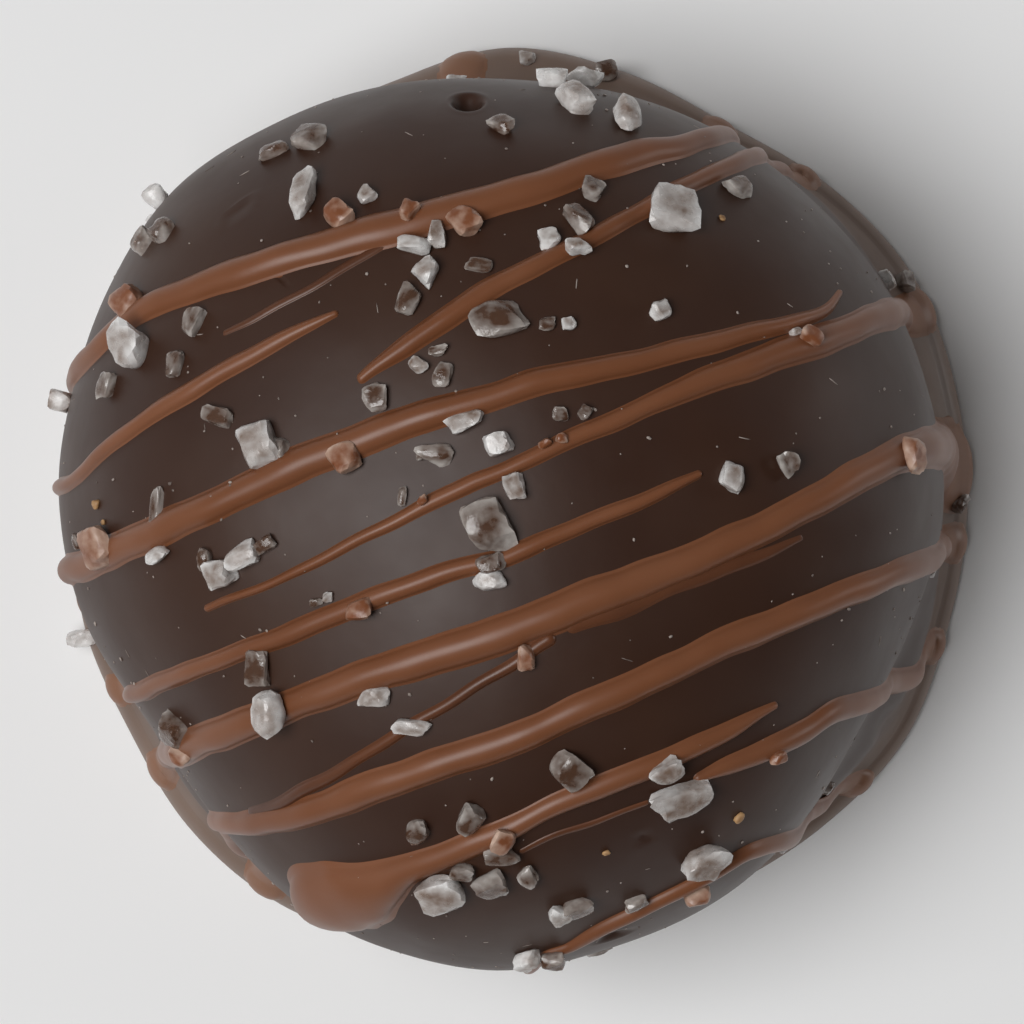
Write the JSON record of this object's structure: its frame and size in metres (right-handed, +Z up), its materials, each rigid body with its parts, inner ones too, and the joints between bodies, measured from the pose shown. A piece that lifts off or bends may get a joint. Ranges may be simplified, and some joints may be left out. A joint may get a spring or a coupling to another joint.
{
  "type": "chocolate truffle",
  "caption": "Round dark chocolate truffle with a spread foot, milk chocolate drizzle and coarse salt.",
  "frame": {"origin": "middle of the flat base, on the surface it stands on", "axes": "+Z up through the middle of the dome; the drizzle runs roughly along +X"},
  "size_m": [0.0382, 0.0382, 0.0263],
  "materials": {
    "dark_chocolate": "satin",
    "milk_chocolate": "satin",
    "sea_salt": "frosted"
  },
  "bodies": {
    "root": {"shell": "dark_chocolate", "drizzle_01": "milk_chocolate", "drizzle_02": "milk_chocolate", "drizzle_03": "milk_chocolate", "drizzle_04": "milk_chocolate", "drizzle_05": "milk_chocolate", "drizzle_06": "milk_chocolate", "drizzle_07": "milk_chocolate", "drizzle_08": "milk_chocolate", "drizzle_09": "milk_chocolate", "drizzle_10": "milk_chocolate", "drizzle_11": "milk_chocolate", "drizzle_12": "milk_chocolate"}
  },
  "joints": []
}
